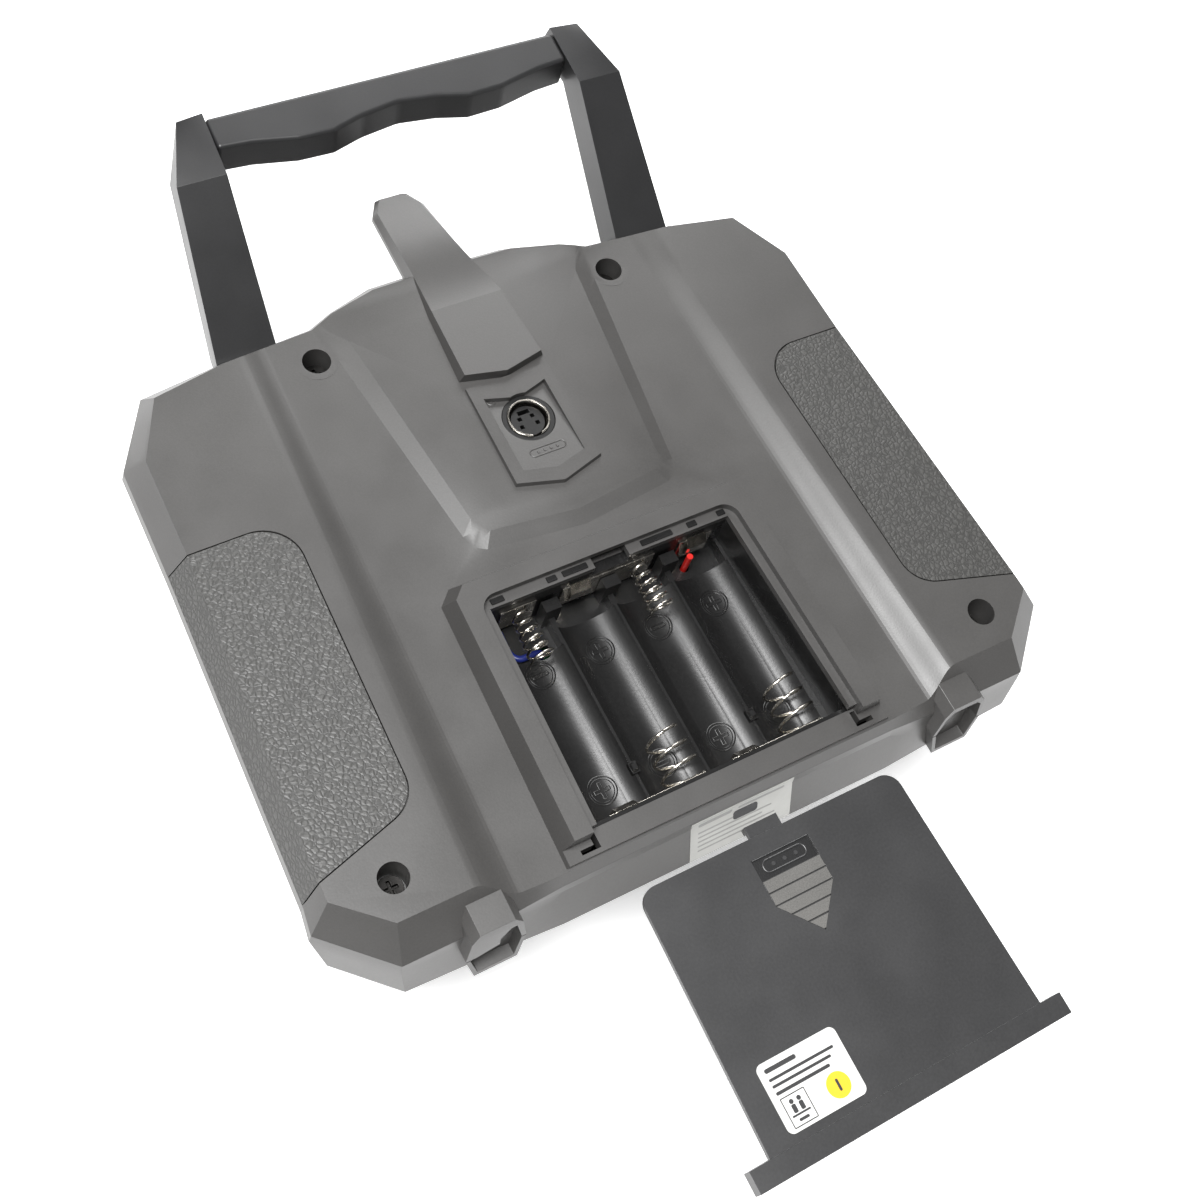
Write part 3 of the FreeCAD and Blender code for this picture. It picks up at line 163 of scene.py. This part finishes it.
MATERIAL = {
    "case_grey": moulded("case_grey", (0.064, 0.062, 0.060), 0.40, 0.45, 0.016, 0.08, 0.75),
    "front_grey": moulded("front_grey", (0.068, 0.066, 0.063), 0.36, 0.6, 0.010, 0.08, 0.75),
    "grip_grain": leather("grip_grain", (0.060, 0.059, 0.056)),
    "handle_grey": moulded("handle_grey", (0.022, 0.022, 0.0228), 0.38, 0.5, 0.012, 0.08, 0.65),
    "door_grey": moulded("door_grey", (0.036, 0.036, 0.037), 0.36, 0.6, 0.010, 0.12, 0.6),
    "bay_black": moulded("bay_black", (0.010, 0.0099, 0.0099), 0.28, 0.7, 0.012, 0.2, 0.6),
    "nickel": metal("nickel", (0.80, 0.76, 0.69), 0.2),
    "screw_steel": metal("screw_steel", (0.028, 0.027, 0.026), 0.4, True),
    "wire_red": film("wire_red", (0.62, 0.02, 0.015)),
    "wire_blue": film("wire_blue", (0.012, 0.022, 0.16)),
    "label_white": film("label_white", (0.72, 0.72, 0.70), 0.45),
    "label_silver": film("label_silver", (0.50, 0.50, 0.48), 0.38, 0.5),
    "board_green": moulded("board_green", (0.02, 0.10, 0.04), 0.35),
    "module_grey": moulded("module_grey", (0.30, 0.30, 0.31), 0.45),
    "window_clear": clear("window_clear", (0.02, 0.024, 0.022), 0.2),
    "lamp_red": clear("lamp_red", (0.5, 0.03, 0.03)),
    "tip_metal": metal("tip_metal", (0.62, 0.62, 0.64), 0.3, True),
    "switch_metal": metal("switch_metal", (0.76, 0.76, 0.78), 0.18),
    "black_plastic": moulded("black_plastic", (0.012, 0.012, 0.012), 0.4, 0.5, 0.006),
    "key_grey": moulded("key_grey", (0.12, 0.12, 0.123), 0.6),
    "ink_grey": film("ink_grey", (0.03, 0.03, 0.032), 0.5),
    "ink_light": film("ink_light", (0.30, 0.30, 0.29), 0.55),
    "ink_yellow": film("ink_yellow", (0.80, 0.52, 0.02), 0.5),
    "push_black": moulded("push_black", (0.008, 0.008, 0.0085), 0.42, 0.35, 0.02),
    "push_ribs": moulded("push_ribs", (0.115, 0.112, 0.106), 0.62, 0.28, 0.03, 0.22),
}


# ---------------------------------------------------------------- CAD nodes: finish and softened edges

def smooth_group(name, limit_degrees, fold_degrees=None, fold_area_mm2=12.0):
    """Geometry nodes that shade smoothly except across real edges, and weight those for the Bevel.

    An edge is real where it turns by more than the limit. Between two large faces, the smaller
    fold angle is enough, so that the shallow folds of a moulded case stay crisp while the narrow
    facets of a round stay smooth.
    """
    group = bpy.data.node_groups.new(name, "GeometryNodeTree")
    group.interface.new_socket("Geometry", in_out="INPUT", socket_type="NodeSocketGeometry")
    group.interface.new_socket("Geometry", in_out="OUTPUT", socket_type="NodeSocketGeometry")
    source = group.nodes.new("NodeGroupInput")
    target = group.nodes.new("NodeGroupOutput")
    angle = group.nodes.new("GeometryNodeInputMeshEdgeAngle").outputs["Unsigned Angle"]

    def compare(value, limit, operation):
        node = group.nodes.new("FunctionNodeCompare")
        node.operation = operation
        group.links.new(value, node.inputs[0])
        node.inputs[1].default_value = limit
        return node.outputs[0]

    def logic(first, second, operation):
        node = group.nodes.new("FunctionNodeBooleanMath")
        node.operation = operation
        group.links.new(first, node.inputs[0])
        group.links.new(second, node.inputs[1])
        return node.outputs[0]

    real = compare(angle, math.radians(limit_degrees), "GREATER_THAN")
    if fold_degrees is not None:
        area = group.nodes.new("GeometryNodeInputMeshFaceArea").outputs[0]
        small = group.nodes.new("GeometryNodeFieldOnDomain")
        small.domain = "FACE"
        small.data_type = "FLOAT"
        group.links.new(compare(area, fold_area_mm2 * MM * MM, "LESS_THAN"), small.inputs[0])
        both_large = compare(small.outputs[0], 0.1, "LESS_THAN")
        folded = compare(angle, math.radians(fold_degrees), "GREATER_THAN")
        real = logic(real, logic(folded, both_large, "AND"), "OR")

    faces = group.nodes.new("GeometryNodeSetShadeSmooth")
    edges = group.nodes.new("GeometryNodeSetShadeSmooth")
    edges.domain = "EDGE"
    faces.inputs["Shade Smooth"].default_value = True
    edges.inputs["Shade Smooth"].default_value = False
    weight = group.nodes.new("GeometryNodeStoreNamedAttribute")
    weight.data_type = "FLOAT"
    weight.domain = "EDGE"
    weight.inputs["Name"].default_value = "bevel_weight_edge"
    group.links.new(source.outputs[0], faces.inputs["Geometry"])
    group.links.new(faces.outputs[0], edges.inputs["Geometry"])
    group.links.new(real, edges.inputs["Selection"])
    group.links.new(edges.outputs[0], weight.inputs["Geometry"])
    group.links.new(real, weight.inputs["Value"])
    group.links.new(weight.outputs[0], target.inputs[0])
    return group


EDGE_DEGREES = 24
FOLD_DEGREES = 7
WELD_DISTANCE = 0.000004
FLAT_DEGREES = 0.06
EDGE_SEGMENTS = 3
ROUND = smooth_group("smooth_round", EDGE_DEGREES)
FOLDED = smooth_group("smooth_folded", EDGE_DEGREES, FOLD_DEGREES)
FOLDED_NODES = ("rear_case", "front_case", "aerial", "handle_arm_right", "handle_arm_left", "handle_bar",
                "foot_right", "foot_left", "battery_door", "grip_right", "grip_left")


def soften(obj, radius_mm, group):
    """Merge the flat facets, round the real edges and shade the rest smoothly."""
    weld = obj.modifiers.new("weld", "WELD")
    weld.merge_threshold = WELD_DISTANCE
    if radius_mm > 0:
        flat = obj.modifiers.new("flat", "DECIMATE")
        flat.decimate_type = "DISSOLVE"
        flat.angle_limit = math.radians(FLAT_DEGREES)
    smooth = obj.modifiers.new("smooth", "NODES")
    smooth.node_group = group
    if radius_mm > 0:
        bevel = obj.modifiers.new("bevel", "BEVEL")
        bevel.width = radius_mm * MM
        bevel.segments = EDGE_SEGMENTS
        bevel.limit_method = "WEIGHT"
        bevel.use_clamp_overlap = True
        bevel.miter_outer = "MITER_ARC"
        bevel.harden_normals = True


ROUNDING = {
    "rear_case": 0.45, "front_case": 0.6, "grip_right": 0.35, "grip_left": 0.35, "handle_arm_right": 0.9,
    "handle_arm_left": 0.9, "handle_bar": 0.9, "aerial": 0.4, "battery_box": 0.2, "battery_door": 0.3,
    "foot_right": 0.4, "foot_left": 0.4, "case_screws": 0.15, "trainer_body": 0.15, "trainer_shell": 0.1,
    "trainer_insert": 0.08, "strap_eye": 0.4, "power_slider": 0.3, "toggle_switches": 0.2, "main_board": 0.2,
    "contact_bridge_upper": 0.08, "contact_bridges_lower": 0.08, "contact_end_minus": 0.08,
    "contact_end_plus": 0.08,
    "key_1": 0.4, "key_2": 0.4, "key_3": 0.4, "key_4": 0.4, "key_5": 0.4, "key_6": 0.4,
    "knob_left": 0.4, "knob_right": 0.4, "trim_side_left": 0.3, "trim_side_right": 0.3, "trim_low_left": 0.3,
    "trim_low_right": 0.3, "stick_tip_left": 0.25, "stick_tip_right": 0.25, "display_window": 0.3,
}

SLOT_OF = {}
for part in frame["record"]["subparts"]:
    SLOT_OF[part["node"]] = part["material_slot"]

for node, obj in frame["nodes"].items():
    obj.data.materials.clear()
    obj.data.materials.append(MATERIAL[SLOT_OF[node]])
    custom = obj.data.attributes.get("custom_normal")
    if custom is not None:
        obj.data.attributes.remove(custom)
    soften(obj, ROUNDING.get(node, 0.0), FOLDED if node in FOLDED_NODES else ROUND)


# ---------------------------------------------------------------- small relief, print and labels

MIDDLE_Y = 3.75
RIM_HEIGHT = 60.0
DOOR_OUT = 73.5
FACE_Z = -40.0
CELL_PITCH = 15.95
TROUGH_R = 11.2
TROUGH_FLOOR = -14.3
DOOR_TOP_Z = 1.8
DOOR_LABEL_Z = 1.95
DOOR_LABEL_AT = (-19.2, -50.4)
WELL_TOP_Z, WELL_TOP_Y = -0.45, 24.0
WELL_SLOPE = 1.7 / 25.0
STICK_X, STICK_Y = 50.0, 27.0
KNOB_X, KNOB_Y = 17.5, 62.0
MARK_HEIGHT = 0.04
INK_HEIGHT = 0.03


def at(x, y, z):
    """A point in the row frame, from millimetres off the case's middle and its rim."""
    return Vector((x * MM, (y + MIDDLE_Y) * MM, (z + RIM_HEIGHT) * MM))


def back_at(level):
    return lambda u, v, w: at(u, v, level + w)


def door_at(level):
    return lambda u, v, w: at(u, v - DOOR_OUT, level + w)


def face_at(level):
    return lambda u, v, w: at(u, v, level - w)


def trough_at(cell_x):
    """Over the round floor of one cell's trough: u across it, v along it, w up from it."""
    def point(u, v, w):
        turn = u / TROUGH_R
        return at(cell_x + (TROUGH_R - w) * math.sin(turn), v,
                  TROUGH_FLOOR + TROUGH_R - (TROUGH_R - w) * math.cos(turn))
    return point


def wall_at(node):
    """On a wall that faces the bottom end: u across, v up, w out of it."""
    obj = frame["nodes"][node]
    back = obj.matrix_world.inverted()

    def point(u, v, w):
        hit, place, normal, face = obj.ray_cast(back @ at(u, -120.0, v), back.to_3x3() @ Vector((0, 1, 0)))
        if not hit:
            raise ValueError("nothing of %s at %.1f, %.1f" % (node, u, v))
        return obj.matrix_world @ place + (obj.matrix_world.to_3x3() @ normal).normalized() * w * MM
    return point


def under_at(node):
    """On what faces down: u across, v along, w out of it."""
    obj = frame["nodes"][node]
    back = obj.matrix_world.inverted()

    def point(u, v, w):
        hit, place, normal, face = obj.ray_cast(back @ at(u, v, -100.0), back.to_3x3() @ Vector((0, 0, 1)))
        if not hit:
            raise ValueError("nothing of %s at %.1f, %.1f" % (node, u, v))
        return obj.matrix_world @ place + Vector((0, 0, -w * MM))
    return point


def circle(x, y, radius, steps=40):
    return [(x + radius * math.cos(2 * math.pi * i / steps), y + radius * math.sin(2 * math.pi * i / steps))
            for i in range(steps)]


def rounded(x, y, width, height, radius, steps=5):
    """A rectangle about x, y with rounded corners."""
    points = []
    for quarter, (sx, sy) in enumerate(((1, 1), (-1, 1), (-1, -1), (1, -1))):
        for i in range(steps + 1):
            turn = math.pi / 2 * (quarter + i / steps)
            points.append((x + sx * (width / 2 - radius) + radius * math.cos(turn),
                           y + sy * (height / 2 - radius) + radius * math.sin(turn)))
    return points


def fine(points, step=0.5, closed=True):
    """The same line with more points in it, so that it can follow a curved surface."""
    result = []
    ends = points + points[:1] if closed else points
    for (x0, y0), (x1, y1) in zip(ends, ends[1:]):
        count = max(1, round(math.hypot(x1 - x0, y1 - y0) / step))
        result += [(x0 + (x1 - x0) * i / count, y0 + (y1 - y0) * i / count) for i in range(count)]
    return result if closed else result + [points[-1]]


class Shape:
    """A mesh that is built up piece by piece on a surface and then made into an object."""

    def __init__(self):
        self.mesh = bmesh.new()

    def loft(self, rings, closed_ends=True):
        rows = [[self.mesh.verts.new(p) for p in ring] for ring in rings]
        count = len(rows[0])
        for low, high in zip(rows, rows[1:]):
            for i in range(count):
                j = (i + 1) % count
                self.mesh.faces.new((low[i], low[j], high[j], high[i]))
        if closed_ends:
            self.mesh.faces.new(rows[0][::-1])
            self.mesh.faces.new(rows[-1])
        return rows

    def pad(self, outline, place, low, high, edge=0.0):
        """A raised pad with that outline; edge draws its top in for a chamfer all round."""
        cx = sum(p[0] for p in outline) / len(outline)
        cy = sum(p[1] for p in outline) / len(outline)
        rings = [[place(u, v, low) for u, v in outline]]
        if edge > 0:
            rings.append([place(u, v, high - edge) for u, v in outline])
            drawn = []
            for u, v in outline:
                reach = max(math.hypot(u - cx, v - cy), 0.001)
                drawn.append(place(u - edge * (u - cx) / reach, v - edge * (v - cy) / reach, high))
            rings.append(drawn)
        else:
            rings.append([place(u, v, high) for u, v in outline])
        self.loft(rings)

    def stroke(self, path, place, radius, closed=True, lift=0.0, sides=8):
        """A raised line that follows the surface, half sunk into it."""
        points = [place(u, v, lift) for u, v in path]
        ups = [(place(u, v, lift + 1.0) - p).normalized() for (u, v), p in zip(path, points)]
        count = len(points)
        rings = []
        for i in range(count):
            before = points[i - 1] if (i > 0 or closed) else points[i]
            after = points[(i + 1) % count] if (i < count - 1 or closed) else points[i]
            side = (after - before).normalized().cross(ups[i])
            rings.append([points[i] + radius * MM * (math.cos(2 * math.pi * k / sides) * side
                                                     + math.sin(2 * math.pi * k / sides) * ups[i])
                          for k in range(sides)])
        if closed:
            rows = self.loft(rings, False)
            for i in range(sides):
                j = (i + 1) % sides
                self.mesh.faces.new((rows[-1][i], rows[-1][j], rows[0][j], rows[0][i]))
        else:
            self.loft(rings)

    def finish(self, name, material, body, bevel_mm=0.0):
        bmesh.ops.recalc_face_normals(self.mesh, faces=self.mesh.faces)
        data = bpy.data.meshes.new(name)
        self.mesh.to_mesh(data)
        self.mesh.free()
        obj = bpy.data.objects.new(name, data)
        bpy.context.scene.collection.objects.link(obj)
        data.materials.append(MATERIAL[material])
        if bevel_mm > 0:
            bevel = obj.modifiers.new("bevel", "BEVEL")
            bevel.width = bevel_mm * MM
            bevel.segments = 2
            bevel.limit_method = "ANGLE"
            bevel.angle_limit = math.radians(40)
        smooth = obj.modifiers.new("smooth", "NODES")
        smooth.node_group = ROUND
        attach(obj, body)
        return obj


def bars(shape, place, rows, low, high):
    """Plain rounded bars: each row is x, y, width, height."""
    for x, y, width, height in rows:
        shape.pad(rounded(x + width / 2, y, width, height, min(width, height) * 0.45, 4), place, low, high)


def polarity_marks():
    """Raised plus and minus signs in double rings on the trough floors."""
    upper_y, lower_y = -17.6, -48.3
    shape = Shape()
    for i in range(4):
        place = trough_at(CELL_PITCH * (i - 1.5))
        plus_y = upper_y if i in (1, 3) else lower_y
        minus_y = lower_y if i in (1, 3) else upper_y
        for y in (plus_y, minus_y):
            shape.stroke(circle(0, y, 3.45, 56), place, 0.17)
            shape.stroke(circle(0, y, 2.85, 48), place, 0.13)
        shape.stroke(fine(rounded(0, minus_y, 4.0, 0.95, 0.3, 3)), place, 0.12)
        arm, half = 2.0, 0.42
        cross = [(half, half), (half, arm), (-half, arm), (-half, half), (-arm, half), (-arm, -half),
                 (-half, -half), (-half, -arm), (half, -arm), (half, -half), (arm, -half), (arm, half)]
        shape.stroke(fine([(x, y + plus_y) for x, y in cross]), place, 0.12)
    shape.finish("polarity_marks", "bay_black", "case")


def bay_catches():
    """Small steps on the ledge over the contacts, where the door's spring latch enters."""
    shape = Shape()
    place = back_at(0.0)
    for x, width in ((-29.5, 3.4), (-15.5, 2.6), (-9.4, 6.6), (12.6, 8.6), (22.4, 2.6), (30.6, 2.2)):
        shape.pad(rounded(x, -1.8, width, 1.5, 0.25, 3), place, -0.3, 0.32, 0.15)
    for x in (-CELL_PITCH, CELL_PITCH):
        shape.pad(rounded(x, -47.3, 1.9, 2.2, 0.6, 4), back_at(-10.4), -0.4, 0.75, 0.4)
    shape.finish("bay_catches", "bay_black", "case")


def well_floor(u, v, w):
    """Over the sloping floor of the well round the trainer socket."""
    return at(u, v, WELL_TOP_Z - WELL_SLOPE * (v - WELL_TOP_Y) + w)


def socket_relief():
    """On the plate round the trainer socket: a small round mark and a plain raised bar."""
    shape = Shape()
    place = well_floor
    shape.stroke(circle(-6.3, 47.4, 1.1, 28), place, 0.2)
    shape.pad(circle(-6.3, 47.4, 0.55, 20), place, -0.2, 0.22, 0.12)
    shape.stroke(fine(rounded(0.2, 29.9, 9.4, 2.1, 1.0, 6)), place, 0.17)
    for x in (-2.6, -0.9, 0.8, 2.5):
        shape.pad(rounded(x + 0.25, 29.9, 0.75, 0.9, 0.3, 3), place, -0.2, 0.16, 0.08)
    shape.finish("socket_relief", "case_grey", "case")


def door_push_area():
    """The door's finger area: a dark block with a plain raised ring, and matt ribs below it."""
    place = door_at(DOOR_TOP_Z)
    top = -5.8
    turn_y, tip_y, half = top - 11.0, top - 19.8, 7.4
    dark = Shape()
    dark.pad([(-half, top - 4.9), (half, top - 4.9), (half, top), (-half, top)], place, -0.6, -0.38)
    dark.finish("push_block", "push_black", "door")
    ring = Shape()
    ring.stroke(fine(rounded(0, top - 2.45, 10.8, 2.8, 1.3, 6)), place, 0.22, lift=-0.36)
    ring.stroke([(-half + 0.2, top - 0.15), (half - 0.2, top - 0.15)], place, 0.16, closed=False, lift=-0.1)
    for x in (-2.9, 0.0, 2.9):
        ring.pad(circle(x, top - 2.45, 0.55, 20), place, -0.6, -0.2, 0.1)
    ring.finish("push_ring", "door_grey", "door")

    def half_at(y):
        return half if y >= turn_y else half * (y - tip_y) / (turn_y - tip_y)
    ribs = Shape()
    for i in range(5):
        high_y = top - 5.15 - 2.93 * i
        low_y = max(high_y - 2.6, tip_y + 0.35)
        levels = [low_y] + ([turn_y] if low_y < turn_y < high_y else []) + [high_y]
        outline = [(half_at(y), y) for y in levels] + [(-half_at(y), y) for y in reversed(levels)]
        ribs.pad(outline, place, -0.5, 0.12, 0.1)
    ribs.finish("push_ribs", "push_ribs", "door")


def door_print():
    """Plain print on the white label: grey bars, a box and a yellow disc."""
    place = door_at(DOOR_LABEL_Z)
    x0, y0 = DOOR_LABEL_AT
    ink = Shape()
    rows = [(x0 - 8.2, y0 + 5.6, 7.6, 0.95), (x0 - 8.2, y0 + 3.7, 15.8, 0.6), (x0 - 8.2, y0 + 2.3, 14.4, 0.6),
            (x0 - 8.2, y0 + 0.8, 13.2, 0.7)]
    bars(ink, place, rows, 0.0, INK_HEIGHT)
    ink.stroke(fine(rounded(x0 - 5.2, y0 - 3.5, 5.6, 6.2, 0.15, 3)), place, 0.11)
    bars(ink, place, [(x0 - 7.4, y0 - 4.5, 4.4, 0.4), (x0 - 6.4, y0 - 5.6, 2.4, 0.6)], 0.0, INK_HEIGHT)
    for x in (-6.1, -4.3):
        ink.pad(circle(x0 + x, y0 - 1.7, 0.5, 20), place, 0.0, INK_HEIGHT)
        ink.pad(rounded(x0 + x, y0 - 3.2, 1.0, 1.8, 0.3, 4), place, 0.0, INK_HEIGHT)
    ink.finish("door_print", "ink_grey", "door")
    disc = Shape()
    disc.pad(circle(x0 + 4.6, y0 - 3.4, 2.7, 48), place, 0.0, 0.04)
    disc.finish("door_disc", "ink_yellow", "door")
    dot = Shape()
    dot.pad(rounded(x0 + 4.6, y0 - 3.4, 0.6, 2.6, 0.3, 4), place, 0.04, 0.07)
    dot.finish("door_disc_bar", "ink_grey", "door")


def base_print():
    """Plain grey bars on the silver label of the bottom wall."""
    place = wall_at("base_label")
    ink = Shape()
    rows = [(-9.5, -9.7, 9.0, 1.3), (1.2, -9.7, 12.5, 0.9), (-9.5, -12.2, 11.0, 0.5), (-9.5, -13.6, 20.0, 0.45),
            (-9.5, -15.0, 17.5, 0.45), (-9.5, -16.4, 21.0, 0.45), (-9.5, -17.8, 12.5, 0.45)]
    for x, y, width, height in rows:
        outline = fine(rounded(x + width / 2, y, width, height, height * 0.4, 3), 1.5)
        ink.pad(outline, place, 0.0, INK_HEIGHT)
    ink.finish("base_print", "ink_light", "case")
    block = Shape()
    block.pad(fine(rounded(3.2, -11.9, 6.6, 2.6, 0.8, 5), 1.0), place, 0.0, 0.05)
    block.finish("base_block", "ink_grey", "case")


def front_relief():
    """The front, which faces down: rims round the sticks and the display, scales and plain marks."""
    face = face_at(FACE_Z)
    rims = Shape()
    for side in (-1, 1):
        rims.stroke(circle(STICK_X * side, STICK_Y, 18.4, 96), face, 0.8, sides=12)
        rims.stroke(circle(STICK_X * side, STICK_Y, 21.2, 96), face, 0.3)
    rims.stroke(fine(rounded(0, -32.0, 67.0, 40.6, 3.0, 8), 1.0), face, 0.7, sides=12)
    rims.stroke(fine(rounded(0, 62.0, 58.0, 18.5, 5.0, 8), 1.0), face, 0.3)
    rims.finish("front_rims", "black_plastic", "case")
    marks = Shape()
    for side in (-1, 1):
        for i in range(-3, 4):
            reach = 2.2 if i == 0 else 1.3
            marks.pad(rounded(side * 24.2, STICK_Y + 2 * i, reach, 0.3, 0.1, 3), face, 0.0, MARK_HEIGHT)
            marks.pad(rounded(side * STICK_X + 2 * i, -0.9, 0.3, reach, 0.1, 3), face, 0.0, MARK_HEIGHT)
        for y in (-22.0, -32.0, -42.0):
            marks.pad(circle(side * 47.6, y, 0.7, 24), face, 0.0, MARK_HEIGHT)
            marks.pad(rounded(side * 50.6, y, 3.2, 0.5, 0.2, 3), face, 0.0, MARK_HEIGHT)
        for i in range(9):
            turn = math.radians(-120 + 30 * i)
            x, y = side * KNOB_X + 8.4 * math.sin(turn), KNOB_Y + 8.4 * math.cos(turn)
            marks.pad(circle(x, y, 0.3, 12), face, 0.0, MARK_HEIGHT)
        for x in (54.0, 68.0):
            marks.pad(rounded(side * x, 56.4, 2.6, 0.5, 0.2, 3), face, 0.0, MARK_HEIGHT)
    marks.pad(circle(-9.4, 6.0, 0.7, 24), face, 0.0, MARK_HEIGHT)
    marks.pad(rounded(5.2, 6.0, 2.2, 0.5, 0.2, 3), face, 0.0, MARK_HEIGHT)
    marks.finish("front_marks", "ink_light", "case")
    for name, side in (("right", 1), ("left", -1)):
        pointer = Shape()
        pointer.pad(rounded(side * KNOB_X, 65.0, 0.9, 4.2, 0.4, 4), under_at("knob_" + name), -0.2, 0.15)
        pointer.finish("knob_pointer_" + name, "ink_light", "knob_" + name)


polarity_marks()
bay_catches()
front_relief()
socket_relief()
door_push_area()
door_print()
base_print()


# ---------------------------------------------------------------- camera, floor and light

LENS_MM = 46.74
SENSOR_MM = 36.0
CAMERA_AT = Vector((-0.13639, -0.11741, 0.37288))
CAMERA_RIGHT = Vector((0.86450, -0.46440, 0.19228))
CAMERA_UP = Vector((0.34873, 0.82967, 0.43593))
CAMERA_BACK = Vector((-0.36198, -0.30981, 0.87920))
FLOOR_HALF = 3
FLOOR_Z = -0.0005
LIGHT_TARGET = (0, 0, 0.05)


def make_camera():
    data = bpy.data.cameras.new("camera")
    data.sensor_width = SENSOR_MM
    data.lens = LENS_MM
    camera = bpy.data.objects.new("camera", data)
    rotation = Matrix((CAMERA_RIGHT, CAMERA_UP, CAMERA_BACK)).transposed()
    camera.matrix_world = Matrix.Translation(CAMERA_AT) @ rotation.to_4x4()
    bpy.context.scene.collection.objects.link(camera)
    bpy.context.scene.camera = camera


def make_floor():
    mesh = bpy.data.meshes.new("floor")
    corners = [(x * FLOOR_HALF, y * FLOOR_HALF, FLOOR_Z) for x, y in ((-1, -1), (1, -1), (1, 1), (-1, 1))]
    mesh.from_pydata(corners, [], [(0, 1, 2, 3)])
    floor = bpy.data.objects.new("floor", mesh)
    n = Nodes("floor")
    n.link(n.mix(n.noise(200.0), (0.93, 0.93, 0.93, 1), (0.95, 0.95, 0.95, 1)), "Base Color")
    n.shader.inputs["Roughness"].default_value = 0.7
    n.shader.inputs["Emission Color"].default_value = (1, 1, 1, 1)
    n.shader.inputs["Emission Strength"].default_value = 0.45
    mesh.materials.append(n.material)
    bpy.context.scene.collection.objects.link(floor)


def area_light(name, place, size, power):
    data = bpy.data.lights.new(name, "AREA")
    data.shape = "DISK"
    data.size = size
    data.energy = power
    light = bpy.data.objects.new(name, data)
    light.location = place
    light.rotation_euler = (Vector(LIGHT_TARGET) - Vector(place)).to_track_quat("-Z", "Y").to_euler()
    bpy.context.scene.collection.objects.link(light)


def make_light():
    world = bpy.data.worlds.new("studio")
    world.use_nodes = True
    sky = world.node_tree.nodes["Background"]
    sky.inputs["Color"].default_value = (1, 1, 1, 1)
    sky.inputs["Strength"].default_value = 0.16
    bpy.context.scene.world = world
    area_light("key", (-0.36, -0.06, 1.25), 0.72, 26.0)
    area_light("back", (0.50, 1.0, 0.80), 0.7, 8.0)
    view = bpy.context.scene.view_settings
    view.view_transform = "Standard"
    view.look = "None"


make_camera()
make_floor()
make_light()
